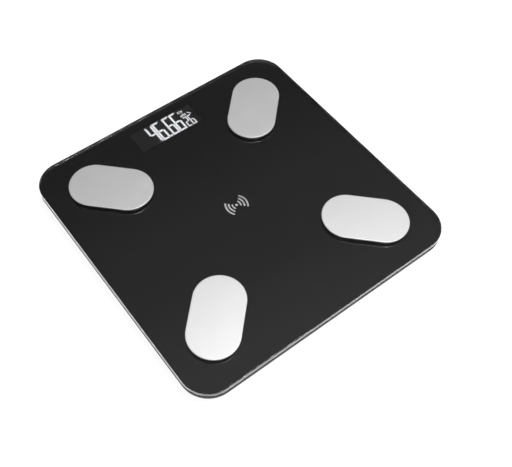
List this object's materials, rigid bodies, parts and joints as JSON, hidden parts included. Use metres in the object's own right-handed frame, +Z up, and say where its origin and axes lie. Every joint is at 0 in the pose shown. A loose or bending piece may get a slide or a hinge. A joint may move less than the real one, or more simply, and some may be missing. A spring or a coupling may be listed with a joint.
{
  "type": "digital bathroom scale",
  "caption": "Square glass bathroom scale with rounded corners, raised steel electrode pads, a hidden lit display near one edge, and a thin black base on floating weighing feet.",
  "frame": {"origin": "middle of the footprint, on the floor, at the height of the foot pads' undersides", "axes": "+Z up out of the platform; +Y towards the edge that holds the display; +X to the user's right when the display reads upright"},
  "size_m": [0.28, 0.28, 0.0265],
  "materials": {
    "clear_glass": "polished tempered glass with ground rims",
    "black_coating": "gloss black seen through the glass",
    "smoked_window": "smoked film",
    "mark_ink": "grey ink",
    "electrode_steel": "fine satin",
    "clear_adhesive": "clear acrylic adhesive",
    "fibre": "vulcanised fibre",
    "tinned_brass": "tinned",
    "plated_steel": "nickel plated",
    "black_foam": "closed-cell foam tape",
    "base_plastic": "fine spark-eroded texture",
    "foot_plastic": "moulded, satin",
    "foot_rubber": "matt rubber",
    "cell_steel": "stamped alloy steel",
    "gauge_foil": "etched foil on amber film",
    "white_sealant": "silicone",
    "lead_grey": "soft sleeve",
    "lead_black": "soft sleeve",
    "lead_red": "soft sleeve",
    "battery_sleeve": "printed sleeve, plain",
    "circuit_board": "green solder mask",
    "white_plastic": "moulded nylon",
    "chip_plastic": "moulded epoxy",
    "shield_tin": "tinned shield",
    "component_ceramic": "ceramic chips",
    "reflector_plastic": "dark face",
    "lit_light_guide": "glowing white",
    "dark_light_guide": "unlit, dark",
    "button_plastic": "satin"
  },
  "bodies": {
    "scale_body": {"back_print": "black_coating", "base_housing": "base_plastic", "battery_1": "battery_sleeve", "battery_2": "battery_sleeve", "battery_3": "battery_sleeve", "battery_contact_bridges": "plated_steel", "battery_contact_negative": "plated_steel", "battery_contact_positive": "plated_steel", "battery_lead_negative": "lead_black", "battery_lead_positive": "lead_red", "board_components": "component_ceramic", "board_connectors": "white_plastic", "board_screws": "plated_steel", "display_reflector": "reflector_plastic", "display_window": "smoked_window", "electrode_adhesive": "clear_adhesive", "electrode_back_left": "electrode_steel", "electrode_back_right": "electrode_steel", "electrode_front_left": "electrode_steel", "electrode_front_right": "electrode_steel", "electrode_lead_back_left": "lead_black", "electrode_lead_back_right": "lead_black", "electrode_lead_front_left": "lead_black", "electrode_lead_front_right": "lead_black", "electrode_nuts": "plated_steel", "electrode_tags": "tinned_brass", "electrode_washers": "fibre", "gauge_sealant": "white_sealant", "glass_platform": "clear_glass", "lit_segments": "lit_light_guide", "load_cell_back_left": "cell_steel", "load_cell_back_right": "cell_steel", "load_cell_front_left": "cell_steel", "load_cell_front_right": "cell_steel", "load_cell_lead_back_left": "lead_grey", "load_cell_lead_back_right": "lead_grey", "load_cell_lead_front_left": "lead_grey", "load_cell_lead_front_right": "lead_grey", "main_board": "circuit_board", "mounting_tape": "black_foam", "processor": "chip_plastic", "radio_module": "shield_tin", "strain_gauges": "gauge_foil", "tact_switch": "chip_plastic", "unlit_segments": "dark_light_guide", "wireless_mark": "mark_ink"},
    "foot_front_left": {"foot_cap_front_left": "foot_plastic", "foot_pad_front_left": "foot_rubber"},
    "foot_front_right": {"foot_cap_front_right": "foot_plastic", "foot_pad_front_right": "foot_rubber"},
    "foot_back_left": {"foot_cap_back_left": "foot_plastic", "foot_pad_back_left": "foot_rubber"},
    "foot_back_right": {"foot_cap_back_right": "foot_plastic", "foot_pad_back_right": "foot_rubber"},
    "battery_door": {"battery_door": "base_plastic"},
    "unit_button": {"unit_button": "button_plastic", "switch_plunger": "white_plastic"}
  },
  "joints": [
    {"name": "foot_front_left_float", "type": "slide", "parent": "scale_body", "child": "foot_front_left", "axis": [0, 0, 1], "range_m": [-0.0006, 0]},
    {"name": "foot_front_right_float", "type": "slide", "parent": "scale_body", "child": "foot_front_right", "axis": [0, 0, 1], "range_m": [-0.0006, 0]},
    {"name": "foot_back_left_float", "type": "slide", "parent": "scale_body", "child": "foot_back_left", "axis": [0, 0, 1], "range_m": [-0.0006, 0]},
    {"name": "foot_back_right_float", "type": "slide", "parent": "scale_body", "child": "foot_back_right", "axis": [0, 0, 1], "range_m": [-0.0006, 0]},
    {"name": "battery_door_hinge", "type": "hinge", "parent": "scale_body", "child": "battery_door", "pos_m": [0, 0.0021, 0.0074], "axis": [-1, 0, 0], "range_deg": [0, 75]},
    {"name": "unit_button_press", "type": "slide", "parent": "scale_body", "child": "unit_button", "axis": [0, 0, 1], "range_m": [0, 0.0003], "stiffness_N_per_m": 1500}
  ]
}
